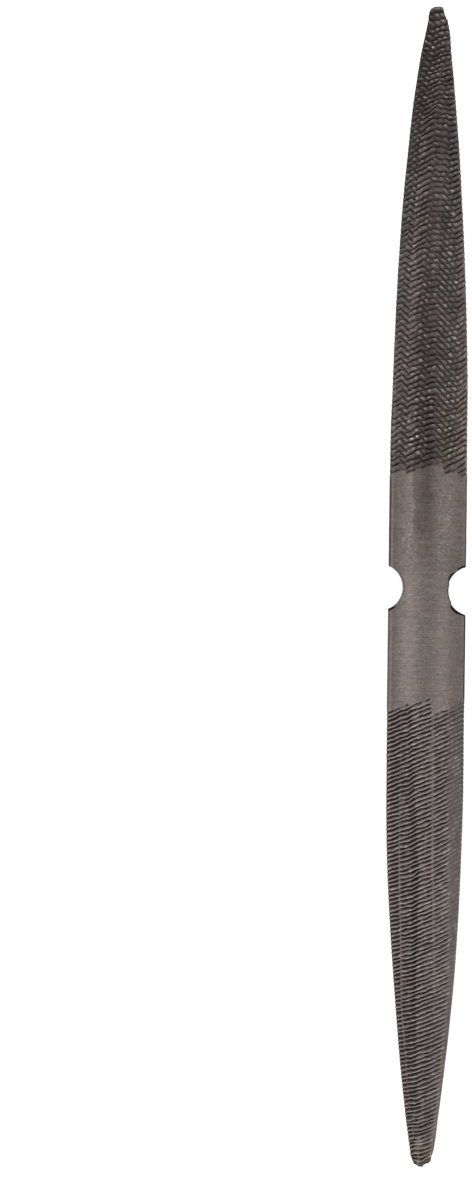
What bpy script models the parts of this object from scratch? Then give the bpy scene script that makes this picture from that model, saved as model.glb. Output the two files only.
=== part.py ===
"""Double-ended half-round wood file: one hardened steel bar, cut coarse at one end and fine at the other.

The bar lies on its flat face with the round face up (+Z). Its length runs along Y, the coarse end at +Y.
The origin is in the middle of the plain waist, on the flat face. All lengths are in metres.
"""

import math
from dataclasses import dataclass

import bmesh
import bpy

# The bar
OVERALL_LENGTH = 0.254
WAIST_LENGTH = 0.050  # the plain stretch in the middle, with the notches
BLADE_WIDTH = 0.0170
BLADE_THICKNESS = 0.0046
EDGE_THICKNESS = 0.0010  # where the round face would run out into the side
SIDE_FACE_HEIGHT = 0.0006  # the upright part of that side, under its worn corner
LEFT_CORNER_WIDTH = 0.0007  # the worn corner, seen from above
RIGHT_CORNER_WIDTH = 0.0005
SIDE_BOW = 0.0005  # both tips stand this far to the right of the middle, as the quench left them

# The coarse, double-cut end
COARSE_TIP_WIDTH = 0.0026
COARSE_TIP_THICKNESS = 0.0016
COARSE_TIP_ROUND = 0.0009
COARSE_TAPER_LENGTH = 0.108
COARSE_PITCH_AT_HEEL = 0.00126
COARSE_PITCH_AT_TIP = 0.00119
COARSE_TOOTH_DEPTH = 0.00045
COARSE_SLANT = math.radians(16)

# The fine, single-cut end
FINE_TIP_WIDTH = 0.0040
FINE_TIP_THICKNESS = 0.0018
FINE_TIP_ROUND = 0.0016
FINE_TAPER_LENGTH = 0.092
FINE_PITCH_AT_HEEL = 0.00097
FINE_PITCH_AT_TIP = 0.00094
FINE_TOOTH_DEPTH = 0.00032
FINE_SLANT = math.radians(18)

TIP_MARGIN = 0.0012  # from the last tooth to the tip

# The notches for a holder, each an arc of a circle whose centre lies outside the blade
LEFT_NOTCH_RADIUS = 0.0050
LEFT_NOTCH_DEPTH = 0.0030
LEFT_NOTCH_Y = -0.0003
RIGHT_NOTCH_RADIUS = 0.0054
RIGHT_NOTCH_DEPTH = 0.0040
RIGHT_NOTCH_Y = -0.0009
NOTCH_SEGMENTS = 48

CUT_OVERRUN = 0.002

# Columns of points across the round face, as shares of the half width. The chisel's strips start again
# between the two columns of the ridge.
COLUMN_SHARES = (-1.0, -0.67, -0.33, 0.0, 0.20, 0.27, 0.63, 1.0)
RIDGE_COLUMN = 4
STEEP_FACE_SHARE = 0.3  # how much of the pitch the tooth's front takes
FLAT_FACE_CUT_SHARE = 0.6  # how deep the flat face is cut, of the round face's depth
SIDE_BITE_SHARE = 0.4  # how far a gullet bites into the side, of its depth
OVERCUT_SHARE = 0.6  # how deep the second cut breaks each coarse tooth
TIP_ROUND_STEP_SHARES = (1.0, 0.5, 0.15, 0.0)
WAIST_ROW_SHARES = (0.0, 0.25, 0.5, 0.8)  # straight rows between the middle and each heel

HALF_LENGTH = OVERALL_LENGTH / 2
CUT_LENGTH = (OVERALL_LENGTH - WAIST_LENGTH) / 2


@dataclass(frozen=True)
class CutEnd:
    """One toothed end. Its distances are measured from its tip towards the middle."""

    side: int
    tip_width: float
    tip_thickness: float
    tip_round: float
    tip_flat_share: float
    taper_length: float
    taper_power: float
    taper_swell: float
    pitch_at_heel: float
    pitch_at_tip: float
    tooth_depth: float
    slant: float
    overcut_share: float
    right_edge_cut_share: float


COARSE_END = CutEnd(
    side=1,
    tip_width=COARSE_TIP_WIDTH,
    tip_thickness=COARSE_TIP_THICKNESS,
    tip_round=COARSE_TIP_ROUND,
    tip_flat_share=0.6,
    taper_length=COARSE_TAPER_LENGTH,
    taper_power=2.0,
    taper_swell=0.75,
    pitch_at_heel=COARSE_PITCH_AT_HEEL,
    pitch_at_tip=COARSE_PITCH_AT_TIP,
    tooth_depth=COARSE_TOOTH_DEPTH,
    slant=COARSE_SLANT,
    overcut_share=OVERCUT_SHARE,
    right_edge_cut_share=1.0,
)

FINE_END = CutEnd(
    side=-1,
    tip_width=FINE_TIP_WIDTH,
    tip_thickness=FINE_TIP_THICKNESS,
    tip_round=FINE_TIP_ROUND,
    tip_flat_share=0.3,
    taper_length=FINE_TAPER_LENGTH,
    taper_power=2.05,
    taper_swell=1.0,
    pitch_at_heel=FINE_PITCH_AT_HEEL,
    pitch_at_tip=FINE_PITCH_AT_TIP,
    tooth_depth=FINE_TOOTH_DEPTH,
    slant=FINE_SLANT,
    overcut_share=0.0,
    right_edge_cut_share=0.0,
)


def clear_scene():
    """Remove whatever the file holds."""
    for obj in list(bpy.data.objects):
        bpy.data.objects.remove(obj, do_unlink=True)


def section_at(end, distance):
    """Half width and rise of the round face at a distance from the tip.

    Both grow from the tip as (1 - (1 - distance / taper length)^power)^swell, and the last stretch
    before the tip is rounded off by a quarter of an ellipse.
    """
    remaining = max(0.0, 1 - distance / end.taper_length)
    growth = (1 - remaining**end.taper_power) ** end.taper_swell
    width = end.tip_width + (BLADE_WIDTH - end.tip_width) * growth
    thickness = end.tip_thickness + (BLADE_THICKNESS - end.tip_thickness) * growth
    short = max(0.0, 1 - distance / end.tip_round)
    rounding = end.tip_flat_share + (1 - end.tip_flat_share) * math.sqrt(1 - short**2)
    return width / 2 * rounding, (thickness - EDGE_THICKNESS) * rounding


def row_shift(end, share, half_width):
    """How far along Y a slanted row lies at a column: it rises to the right, once on each side of the ridge."""
    left, right = COLUMN_SHARES[RIDGE_COLUMN], COLUMN_SHARES[RIDGE_COLUMN + 1]
    middle = (left - 1) / 2 if share <= left else (right + 1) / 2
    return math.tan(end.slant) * half_width * (share - middle)


def bowed(x, y):
    """X of a point once the bar has its bow, which grows with the square of the distance to the middle."""
    return x + SIDE_BOW * (y / HALF_LENGTH) ** 2


def row_points(end, distance, cuts, slanted=True):
    """One closed row of points round the bar, from the flat face's left edge over the round face.

    cuts holds how deep each column is cut, along the round face's own normal.
    """
    half_here, _ = section_at(end, distance)
    points = []
    for share, cut in zip(COLUMN_SHARES, cuts):
        shift = row_shift(end, share, half_here) if slanted else 0.0
        half, rise = section_at(end, distance - end.side * shift)
        y = end.side * (HALF_LENGTH - distance) + shift
        corner = LEFT_CORNER_WIDTH if share < 0 else RIGHT_CORNER_WIDTH
        reach = half - corner * half / (BLADE_WIDTH / 2)
        radius = (half**2 + rise**2) / (2 * rise)
        x = share * reach
        up = math.sqrt(radius**2 - x**2)
        surface_x = x - cut * x / radius
        surface_z = EDGE_THICKNESS + rise - radius + up - cut * up / radius
        over = (bowed(surface_x, y), y, surface_z)
        if abs(share) < 1:
            points.append(over)
            continue
        bite = cut * SIDE_BITE_SHARE
        side_top = (bowed(share * (half - bite), y), y, SIDE_FACE_HEIGHT)
        foot = (bowed(share * half, y), y, cut * FLAT_FACE_CUT_SHARE)
        points += [foot, side_top, over] if share < 0 else [over, side_top, foot]
    return points


def tooth_places(end):
    """Distances of the crests from the tip, heel first, with a pitch that closes up towards the tip."""
    mean_pitch = (end.pitch_at_heel + end.pitch_at_tip) / 2
    count = max(2, round((CUT_LENGTH - TIP_MARGIN) / mean_pitch))
    places = [CUT_LENGTH]
    for tooth in range(count):
        pitch = end.pitch_at_heel + (end.pitch_at_tip - end.pitch_at_heel) * tooth / count
        places.append(places[-1] - pitch)
    return [place for place in places if place > TIP_MARGIN]


def column_cuts(end, depth):
    """The same cut in every column, but for the right edge, which the fine cut leaves plain."""
    return [depth] * (len(COLUMN_SHARES) - 1) + [depth * end.right_edge_cut_share]


def broken_crest(end, tooth):
    """A crest that the second cut breaks in every other column, staggered from tooth to tooth."""
    depth = end.tooth_depth * end.overcut_share
    return [depth * ((column + tooth) % 2) for column in range(len(COLUMN_SHARES))]


def end_rows(end):
    """Every row of one half, from the middle to the tip. A tooth's steep front faces the tip."""
    uncut = column_cuts(end, 0.0)
    rows = [
        row_points(end, HALF_LENGTH - WAIST_LENGTH / 2 * share, uncut, slanted=False)
        for share in WAIST_ROW_SHARES
    ]
    rows.append(row_points(end, CUT_LENGTH, uncut))
    places = tooth_places(end)
    for tooth, (crest, following) in enumerate(zip(places, places[1:])):
        if tooth:
            rows.append(row_points(end, crest, broken_crest(end, tooth)))
        gullet = crest - (crest - following) * STEEP_FACE_SHARE
        rows.append(row_points(end, gullet, column_cuts(end, end.tooth_depth)))
    rows.append(row_points(end, places[-1], uncut))
    for share in TIP_ROUND_STEP_SHARES:
        rows.append(row_points(end, min(end.tip_round, TIP_MARGIN) * share, uncut, slanted=False))
    return rows


def make_bar():
    """The forged bar as a mesh: all rows from the fine tip to the coarse tip, joined by quads."""
    rows = end_rows(FINE_END)[::-1] + end_rows(COARSE_END)[1:]
    shape = bmesh.new()
    rings = [[shape.verts.new(point) for point in row] for row in rows]
    for ring, following in zip(rings, rings[1:]):
        for corner in range(len(ring)):
            turn = (corner + 1) % len(ring)
            shape.faces.new((ring[corner], ring[turn], following[turn], following[corner]))
    shape.faces.new(rings[0])
    shape.faces.new(rings[-1])
    bmesh.ops.recalc_face_normals(shape, faces=shape.faces)
    mesh = bpy.data.meshes.new("file_blade")
    shape.to_mesh(mesh)
    shape.free()
    mesh.shade_smooth()
    mesh.set_sharp_from_angle(angle=math.radians(30))
    return mesh


def notch_cutter(name, side, radius, depth, y):
    """An upright cylinder that cuts one notch. Its centre lies outside the blade's edge."""
    height = BLADE_THICKNESS + 2 * CUT_OVERRUN
    shape = bmesh.new()
    bmesh.ops.create_cone(
        shape,
        cap_ends=True,
        segments=NOTCH_SEGMENTS,
        radius1=radius,
        radius2=radius,
        depth=height,
    )
    mesh = bpy.data.meshes.new(name)
    shape.to_mesh(mesh)
    shape.free()
    cutter = bpy.data.objects.new(name, mesh)
    cutter.location = (side * (BLADE_WIDTH / 2 + radius - depth), y, BLADE_THICKNESS / 2)
    cutter.hide_render = True
    cutter.display_type = "WIRE"
    bpy.context.scene.collection.objects.link(cutter)
    return cutter


def hardened_steel():
    """Warm dark grey steel, as it leaves the quench and the scouring."""
    material = bpy.data.materials.new("hardened_steel")
    material.use_nodes = True
    shader = material.node_tree.nodes["Principled BSDF"]
    shader.inputs["Base Color"].default_value = (0.19, 0.165, 0.155, 1.0)
    shader.inputs["Metallic"].default_value = 1.0
    shader.inputs["Roughness"].default_value = 0.48
    return material


def make_file_blade():
    """The whole file: the bar with its two notches cut out."""
    blade = bpy.data.objects.new("file_blade", make_bar())
    blade.data.materials.append(hardened_steel())
    bpy.context.scene.collection.objects.link(blade)
    cutters = (
        notch_cutter("left_notch", -1, LEFT_NOTCH_RADIUS, LEFT_NOTCH_DEPTH, LEFT_NOTCH_Y),
        notch_cutter("right_notch", 1, RIGHT_NOTCH_RADIUS, RIGHT_NOTCH_DEPTH, RIGHT_NOTCH_Y),
    )
    for cutter in cutters:
        cut = blade.modifiers.new(cutter.name, "BOOLEAN")
        cut.operation = "DIFFERENCE"
        cut.solver = "EXACT"
        cut.object = cutter
    return blade


clear_scene()
make_file_blade()
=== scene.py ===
"""The dressed wood file: teeth, notches and worn steel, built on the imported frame.

The bar lies on its flat face with the round face up (+Z) and the coarse end at +Y, all lengths in metres.
Its whole skin is one surface of two parameters, the place along the bar and the place round the section.
It is worked out as arrays, one row for each place along the bar and one column for each place round it,
and is laid into the scene as five closed stretches whose end rows are the same.
"""

import math
from dataclasses import dataclass
from types import SimpleNamespace

import bpy
import numpy as np
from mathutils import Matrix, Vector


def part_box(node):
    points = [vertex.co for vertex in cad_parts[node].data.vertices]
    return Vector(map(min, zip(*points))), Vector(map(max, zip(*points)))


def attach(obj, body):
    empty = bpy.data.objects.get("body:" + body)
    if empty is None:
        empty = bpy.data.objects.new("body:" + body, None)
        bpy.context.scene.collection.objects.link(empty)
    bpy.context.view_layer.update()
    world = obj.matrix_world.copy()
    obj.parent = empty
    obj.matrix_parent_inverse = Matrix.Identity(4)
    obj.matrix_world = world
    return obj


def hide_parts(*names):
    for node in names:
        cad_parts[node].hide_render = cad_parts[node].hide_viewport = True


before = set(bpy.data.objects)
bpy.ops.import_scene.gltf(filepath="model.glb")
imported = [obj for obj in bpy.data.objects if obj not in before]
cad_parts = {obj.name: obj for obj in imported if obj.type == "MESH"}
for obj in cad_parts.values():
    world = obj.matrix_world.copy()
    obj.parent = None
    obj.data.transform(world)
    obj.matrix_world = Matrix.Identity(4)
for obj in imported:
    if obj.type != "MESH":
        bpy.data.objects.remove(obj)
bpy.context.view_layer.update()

bl_info = {
    "name": "Wood File",
    "version": (1, 0, 0),
    "blender": (4, 5, 0),
    "location": "View3D > Sidebar > Wood File",
    "description": "Builds a double-ended half-round wood file: teeth, notches and worn steel",
    "category": "Object",
}

BAR_LOW, BAR_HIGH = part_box("file_blade")

# Columns round the section, one count for each part of it
ROUND_COLUMNS = 145
CORNER_COLUMNS = 8
WALL_COLUMNS = 4
FOOT_COLUMNS = 3
FLAT_COLUMNS = 49
CORNER_TURN = np.linspace(0, 1, CORNER_COLUMNS + 1)[1:]  # how far round the corner each column lies
FOOT_SHARE = 0.4  # the most of a side's height that the rounding at its foot may take

# Rows along the bar
NOTCH_ROWS = 70
PLAIN_ROWS = 70
ROW_DIGITS = 7  # rows that agree to this many digits of a metre are one row
COARSE_ROW_PHASES = (0.0, 0.06, 0.13, 0.20, 0.29, 0.39, 0.50, 0.62, 0.74, 0.87)
FINE_ROW_PHASES = (0.0, 0.09, 0.19, 0.31, 0.44, 0.58, 0.72, 0.86)
TIP_ROWS = 14
TIP_ROW_POWER = 1.5  # how fast the rows close up towards the very tip
JOINT_TOOTH = 3  # the waist's stretch runs this many teeth into each cut
STRETCHES = ("fine_end_outer", "fine_end_inner", "waist", "coarse_end_inner", "coarse_end_outer")
PUSH_ROUNDS = 2  # how often a pushed row is narrowed to the width where it has come to lie

# The least that a divisor may be
LEAST_REACH = 1e-5
LEAST_HEIGHT = 1e-6
LEAST_RUN = 1e-12

# What each point of the skin carries besides its place
SURFACE_MARKS = ("cut", "scale", "worn", "glint", "stain", "unground", "tarnish_and_shade", "straw", "flecks")

# The random tables, as rows along the bar and columns across it
TOOTH_TABLE = (220, 40)
SPARK_TABLE = (230, 40)
PATCH_TABLE = (90, 12)
BRICK_COUNT = 256
TABLE_LEAD = 6  # the row that belongs to the first tooth
TABLE_STEPS_ACROSS = 12
PATCH_LENGTH = 0.003

# Places where the strips of each end are given, from the middle of the bar
COARSE_PLACES = (0.028, 0.040, 0.064, 0.080, 0.100, 0.116)
FINE_PLACES = (0.032, 0.060, 0.090, 0.113, 0.122)

# A span is where a change starts and the length over which it runs. These lie along the bar, from its middle
WAIST_END = (0.024, 0.004)
STRAW_HEEL_END = (0.032, 0.022)
BEND_START = (0.034, 0.010)
BEND_END = (0.094, 0.012)
FINE_HEEL_LINE_END = (0.048, 0.010)
TIP_TEETH_START = (0.072, 0.040)
TIP_SHINE_START = (0.104, 0.012)

# Spans back from the tip
RELIEF_FADE = (0.0, 0.0028)
FLARE_FADE = (0.0, 0.0028)
SWELL_START = (0.001, 0.0030)
SWELL_END = (0.0055, 0.005)
DARK_EDGE_FADE = (0.003, 0.012)
EDGE_SHADE_FADE = (0.004, 0.012)
RIGHT_EDGE_SHADE_FADE = (0.0012, 0.0010)
STRAW_TIP_FADE = (0.0015, 0.006)

# Spans in strokes after the first one
SHALLOW_STROKES = (0.7, 0.6)
GLINT_START = (1.5, 1.5)
BRIGHT_HEEL_END = (3, 9)
SIDE_LINE_END = (-1, 1)

# Spans round a corner, from the round face to the side
EDGE_TURN = (0.15, 0.45)
LEFT_LINE_TURN = (0.2, 0.25)
RIGHT_LINE_TURN = (0.0, 0.3)
LIT_WALL_TURN = (0.0, 0.2)
RIM_TURN_SHARE = 0.4
EDGE_CUT_TURN_SHARE = 0.6
WALL_TURN_POWER = 3

# How the walls of the notches flare
UPPER_FLARE_RISE = 0.0018
LOWER_FLARE_RISE = 0.0016
FLARE_FALL = 0.0008
LOWER_FLARE_LOSS_SHARE = 0.75
CORNER_FLARE_SHARE = 0.7
CORNER_FLARE_START = (0.0009, 0.0003)  # past the end of the upper flare

# How the strokes are cut. Those in strokes are parts of one pitch, and the shares are of the full depth
CLIMB_LEAD_TEETH = 6  # the rows have their full climb this many teeth before the first
FIRST_TOOTH_STEP_SHARE = 0.09  # how sharply the first tooth changes from strip to strip
FRAYED_STROKES = 0.9
FIRST_STROKE_EASE = 0.3
OVERCUT_LAG_STROKES = 0.6
OVERCUT_EASE = 0.6
FIRST_STROKE_SHARE = 0.74
FINER_STRAY_SHARE = 0.5
OVERCUT_STRAY = 0.00007
OVERCUT_ROW_SHARE = 0.7  # how fast the crossing strokes' straying changes from tooth to tooth
UNEVEN_SHARE = 0.16
GAIN_SHARES = (0.5, 1.12)  # the least and the most that a stroke may have
SKIPPED_SHARE = 0.4
SKIPPED_START = (0.84, 0.12)
SPOT_RUB_SHARE = 0.65
MARGIN_START_SHARE = 0.8
MARGIN_EASE = 0.0006
FLAT_OVERCUT_SHARE = 0.8
WALL_CUT_SHARE = 0.5
FLAT_CUT_SHARE = 0.6
TOOTHED_GAIN = 1.5
CREST_SHARE = 0.3
SUNK_TOP_SHARE = 0.22
DEEPEST_SHARE = 1.15

# A spot near the fine tip where the teeth are rubbed down: its place and how far it reaches, as x and y
SPOT_PLACE = (-0.0009, -0.1219)
SPOT_REACH = (0.0015, 0.0021)

# How far each tip stops short, and how far the painted shade round the fine tip reaches in, at shares of the
# half width across it
COARSE_TIP_RELIEF = (
    (-1.0, 0.0003), (-0.93, 0.0002), (-0.8, 0.00014), (-0.3, 0.00006), (0.8, 0.0), (1.0, 0.00016),
)
FINE_TIP_RELIEF = (
    (-1.0, 0.0013), (-0.90, 0.0011), (-0.84, 0.0006), (-0.74, 0.00034), (-0.62, 0.00030), (-0.53, 0.00026),
    (-0.40, 0.00002), (0.08, 0.00002), (0.20, 0.0004), (0.54, 0.00060), (0.88, 0.0009), (1.0, 0.0012),
)
FINE_TIP_SHADE = (
    (-1.0, 0.0010), (-0.85, 0.0004), (-0.66, 0.0011), (-0.50, 0.0004), (-0.10, 0.0008),
    (0.10, 0.0004), (0.25, 0.0010), (0.45, 0.0006), (0.70, 0.0010), (0.95, 0.0008),
)
CHIP_DEPTH = 0.00020
SWELL_SHARE, SWELL_TILT_SHARE = 0.75, 0.25  # of the swell in the middle, and how much it tilts to the right

# How bright the crests are: partly worn, partly painted highlight, with painted glints on single tops and a
# painted highlight line along the left corner
SUNK_WEAR_SHARE = 1.4
LEAST_WEAR_SHARE, WEAR_SPREAD_SHARE = 0.7, 0.6
GLINT_POWER = 6
LONE_TOP_SHARE = 0.6
HEEL_GLINT_GAIN = 2.5
TIP_GLINT_GAIN = 0.8
BRIGHT_STRIP_START = (0.08, 0.15)
BRIGHT_STRIP_END = (0.45, 0.2)
CORNER_HIGHLIGHT_SHARE = 0.22
CORNER_HIGHLIGHT_START = (0.55, 0.25)
CORNER_HIGHLIGHT_END = (1.0, 0.25)

# How dark the painted shade is along the edges, in deep strokes and on the notch walls. Where there are two
# shares, they are for the fine and the coarse half
CUT_EDGE_SHARE = 0.9
TIP_EDGE_SHARE = 0.85
EDGE_SHADE_RIM = (0.00012, 0.00022)
LEFT_EDGE_SHADE_SHARE, RIGHT_EDGE_SHADE_SHARE = 0.9, 0.6
LEFT_LINE_SHARES = (0.55, 0.85)
RIGHT_LINE_SHARES = (1.0, 0.8)
FINE_HEEL_LINE_SHARE = 0.55
# Deep strokes get painted shade
DEEP_STROKE_SHARES = (1.1, 0.35)  # of the full depth: where a stroke counts as deep, and over how much more
LIT_WALL_SHARE = 0.55

# Scale, stain, dulling and painted light. The brown band beside the left corner is partly painted dark
# reflection, the patch in the waist's coarse half a painted dark reflection, the notch rims painted shade and
# the flecks painted glints.
# The bands beside the left corner are in widths of that corner
LEAST_SCALE_SHARE, SCALE_SPREAD_SHARE = 0.75, 0.5
BROWN_BAND_START = (1.15, 0.25)
BROWN_BAND_END = (1.95, 0.3)
TARNISH_STRAY = 0.0003
TARNISH_STRAY_ROWS = (100, 800)  # the random table's row at the middle of the bar, and rows to the metre
TARNISH_ALONG_STRAY = 4
TARNISHED_HALF_START = (-0.002, 0.012)
TARNISHED_HALF_SHARE = 0.37
TARNISH_PATCH_ACROSS = ((-0.0038, 0.0008), (-0.0010, 0.0030))
TARNISH_PATCH_ALONG = (0.006, 0.012)
TARNISH_PATCH_SHARE = 0.78
TARNISH_EDGE_START = (0.0022, 0.004)
TARNISH_EDGE_SHARE = 0.42
RIM_SHADE_SHARE = 0.75
STRAW_SHARE = 0.7
STRAW_ACROSS = (0.05, 0.3)
# Painted glints: bright flecks where the highlights fall on the waist
FLECK_GLINT_BANDS = (  # each with its left and right border, and its lower and upper end
    ((-0.0064, 0.001), (-0.0036, 0.001), (-0.006, 0.004), (0.017, 0.003)),
    ((0.0012, 0.001), (0.0042, 0.001), (0.0, 0.003), (0.019, 0.003)),
)

# The photograph's frame, for the camera
PHOTO_WIDTH_PX = 472
PHOTO_HEIGHT_PX = 1200
WAIST_MIDDLE_PX = (426.9, 586.5)
BAR_LENGTH_PX = 1157
SENSOR_HEIGHT_MM = 24.0

# The floor and the softboxes
FLOOR_REACH = 4.0
FLOOR_DROP = 0.0001
FLOOR_GREY = 0.8
FLOOR_GLOW = 0.62
RIGHT_BOX_SHARE = 0.48


@dataclass(frozen=True)
class Strip:
    """One lengthwise strip of chisel strokes on the round face, given at the places of its end.

    right_shares say where it ends sideways, as shares of the bar's half width, and step_share how wide its
    right border is. slopes say how steeply its strokes climb to the right. upcut_shares and overcut_shares
    are how deep the two cuts are, as shares of the full depth, and scale_shares how much dark scale is left
    on it. shine is how bright its crests are, partly worn and partly painted highlight and glints, and stain
    how brown its gullets are. first_tooth is the stroke nearest the waist, counted from the heel.
    """

    right_shares: tuple
    slopes: tuple
    upcut_shares: tuple
    scale_shares: tuple
    shine: float
    stain: float
    first_tooth: int
    step_share: float
    overcut_shares: tuple = (0.0,) * len(FINE_PLACES)


COARSE_STRIPS = (
    Strip(
        right_shares=(-0.79, -0.78, -0.82, -0.64, -0.42, -0.40),
        slopes=(0.60, 0.60, 0.60, 0.56, 0.60, 0.20),
        upcut_shares=(1.0, 1.0, 1.0, 1.0, 1.0, 0.9),
        overcut_shares=(0.35, 0.40, 0.45, 0.45, 0.70, 0.90),
        scale_shares=(0.62, 0.62, 0.60, 0.72, 0.92, 0.72),
        shine=0.35, stain=0.15, first_tooth=0, step_share=0.05,
    ),
    Strip(
        right_shares=(-0.61, -0.61, -0.60, -0.505, -0.36, -0.12),
        slopes=(0.15, 0.11, 0.11, 0.22, 0.40, -0.15),
        upcut_shares=(0.60, 0.55, 0.55, 0.70, 0.85, 0.90),
        overcut_shares=(1.0, 1.0, 1.0, 1.0, 0.95, 1.0),
        scale_shares=(0.66, 0.64, 0.52, 0.66, 0.90, 0.60),
        shine=0.30, stain=0.10, first_tooth=0, step_share=0.05,
    ),
    Strip(
        right_shares=(-0.29, -0.29, -0.30, -0.14, -0.03, 0.125),
        slopes=(0.42, 0.44, 0.46, 0.47, 0.54, 0.45),
        upcut_shares=(0.95, 0.90, 0.85, 0.95, 1.0, 1.0),
        overcut_shares=(0.40, 0.45, 0.40, 0.35, 0.35, 0.90),
        scale_shares=(0.70, 0.66, 0.46, 0.20, 0.50, 0.44),
        shine=0.50, stain=0.0, first_tooth=-1, step_share=0.05,
    ),
    Strip(
        right_shares=(-0.13, -0.15, -0.11, -0.05, 0.01, 0.14),
        slopes=(0.32, 0.22, 0.22, 0.40, 0.35, 0.30),
        upcut_shares=(0.80, 0.65, 0.60, 0.60, 0.70, 0.80),
        overcut_shares=(0.90, 1.0, 0.90, 0.90, 0.90, 0.90),
        scale_shares=(0.62, 0.60, 0.42, 0.18, 0.45, 0.44),
        shine=0.50, stain=0.05, first_tooth=-1, step_share=0.05,
    ),
    Strip(
        right_shares=(0.10, 0.09, 0.12, 0.195, 0.33, 0.155),
        slopes=(0.25, 0.22, 0.20, 0.06, -0.05, 0.0),
        upcut_shares=(1.0, 1.0, 0.70, 0.70, 0.85, 0.90),
        overcut_shares=(0.35, 0.45, 0.45, 0.45, 0.50, 0.80),
        scale_shares=(0.66, 0.66, 0.50, 0.62, 0.97, 0.78),
        shine=0.20, stain=0.10, first_tooth=-1, step_share=0.06,
    ),
    Strip(
        right_shares=(0.36, 0.385, 0.36, 0.355, 0.385, 0.17),
        slopes=(0.25, 0.04, 0.08, 0.0, -0.80, 0.20),
        upcut_shares=(0.70, 0.55, 0.55, 0.65, 0.90, 0.90),
        overcut_shares=(0.90, 1.0, 1.0, 0.95, 0.80, 0.80),
        scale_shares=(0.58, 0.60, 0.60, 0.76, 0.98, 0.80),
        shine=0.30, stain=0.10, first_tooth=-1, step_share=0.05,
    ),
    Strip(
        right_shares=(0.72, 0.71, 0.69, 0.59, 0.405, 0.185),
        slopes=(0.46, 0.16, 0.15, 0.25, 0.30, 0.40),
        upcut_shares=(0.85, 0.72, 0.72, 0.80, 0.90, 1.0),
        overcut_shares=(0.55, 0.80, 0.80, 0.75, 0.65, 0.80),
        scale_shares=(0.62, 0.70, 0.70, 0.90, 1.0, 0.92),
        shine=0.90, stain=0.10, first_tooth=-3, step_share=0.06,
    ),
    Strip(
        right_shares=(1.0, 1.0, 1.0, 1.0, 1.0, 1.0),
        slopes=(0.60, 0.80, 0.80, 0.65, 0.40, 0.42),
        upcut_shares=(0.80, 0.75, 0.80, 0.95, 1.0, 1.0),
        overcut_shares=(0.25, 0.30, 0.30, 0.35, 0.45, 0.70),
        scale_shares=(0.50, 0.50, 0.54, 0.80, 0.95, 0.90),
        shine=0.30, stain=0.55, first_tooth=-5, step_share=0.05,
    ),
)

FINE_STRIPS = (
    Strip(
        right_shares=(-0.69, -0.69, -0.61, -0.36, -0.22),
        slopes=(0.50, 0.38, 0.35, 0.20, 0.45),
        upcut_shares=(1.15, 1.22, 1.38, 1.28, 1.15),
        scale_shares=(0.44, 0.20, 0.28, 0.34, 0.38),
        shine=0.80, stain=0.75, first_tooth=-1, step_share=0.04,
    ),
    Strip(
        right_shares=(-0.675, -0.645, -0.575, -0.335, -0.205),
        slopes=(0.50, 0.45, 0.80, 0.70, 0.40),
        upcut_shares=(0.80, 0.45, 0.35, 0.75, 0.95),
        scale_shares=(0.22, 0.22, 0.28, 0.38, 0.35),
        shine=0.40, stain=0.0, first_tooth=-1, step_share=0.05,
    ),
    Strip(
        right_shares=(-0.47, -0.35, -0.34, -0.205, -0.125),
        slopes=(0.42, 0.33, 0.30, 0.18, 0.0),
        upcut_shares=(0.95, 1.0, 1.05, 1.05, 1.05),
        scale_shares=(0.28, 0.28, 0.38, 0.48, 0.42),
        shine=0.50, stain=0.10, first_tooth=-1, step_share=0.06,
    ),
    Strip(
        right_shares=(-0.405, -0.175, -0.235, -0.11, -0.07),
        slopes=(0.90, 0.55, 0.50, 0.35, 0.15),
        upcut_shares=(1.15, 1.45, 1.45, 1.05, 0.75),
        scale_shares=(0.26, 0.40, 0.58, 0.62, 0.42),
        shine=0.70, stain=0.0, first_tooth=0, step_share=0.06,
    ),
    Strip(
        right_shares=(0.115, 0.165, 0.24, 0.105, 0.10),
        slopes=(0.38, 0.40, 0.37, 0.38, 0.36),
        upcut_shares=(0.95, 0.95, 0.95, 0.95, 1.0),
        scale_shares=(0.16, 0.12, 0.30, 0.36, 0.36),
        shine=1.0, stain=0.35, first_tooth=0, step_share=0.07,
    ),
    Strip(
        right_shares=(0.195, 0.215, 0.27, 0.13, 0.125),
        slopes=(0.44, 0.36, 0.37, 0.38, 0.38),
        upcut_shares=(0.62, 0.36, 0.62, 0.88, 0.95),
        scale_shares=(0.18, 0.18, 0.26, 0.36, 0.36),
        shine=0.70, stain=0.45, first_tooth=4, step_share=0.07,
    ),
    Strip(
        right_shares=(0.54, 0.58, 0.63, 0.41, 0.24),
        slopes=(0.44, 0.45, 0.37, 0.38, 0.40),
        upcut_shares=(0.95, 0.90, 0.85, 0.90, 1.0),
        scale_shares=(0.30, 0.36, 0.32, 0.38, 0.40),
        shine=0.80, stain=0.35, first_tooth=4, step_share=0.18,
    ),
    Strip(
        right_shares=(1.0, 1.0, 1.0, 1.0, 1.0),
        slopes=(0.45, 0.55, 0.40, 0.38, 0.35),
        upcut_shares=(0.60, 0.34, 0.16, 0.10, 0.15),
        scale_shares=(0.62, 0.62, 0.48, 0.42, 0.42),
        shine=0.30, stain=0.20, first_tooth=4, step_share=0.05,
    ),
)


def length(name, description, default):
    """A property that holds a length in metres."""
    return bpy.props.FloatProperty(
        name=name, description=description, default=default, min=0.0, unit="LENGTH", precision=5
    )


def share(name, description, default):
    """A property that holds a share or a plain number."""
    return bpy.props.FloatProperty(name=name, description=description, default=default, precision=3)


def angle(name, description, degrees):
    """A property that holds an angle."""
    return bpy.props.FloatProperty(
        name=name, description=description, default=math.radians(degrees), subtype="ANGLE"
    )


def colour(name, description, default):
    """A property that holds a colour."""
    return bpy.props.FloatVectorProperty(
        name=name, description=description, default=default, subtype="COLOR", min=0.0, max=1.2
    )


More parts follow.
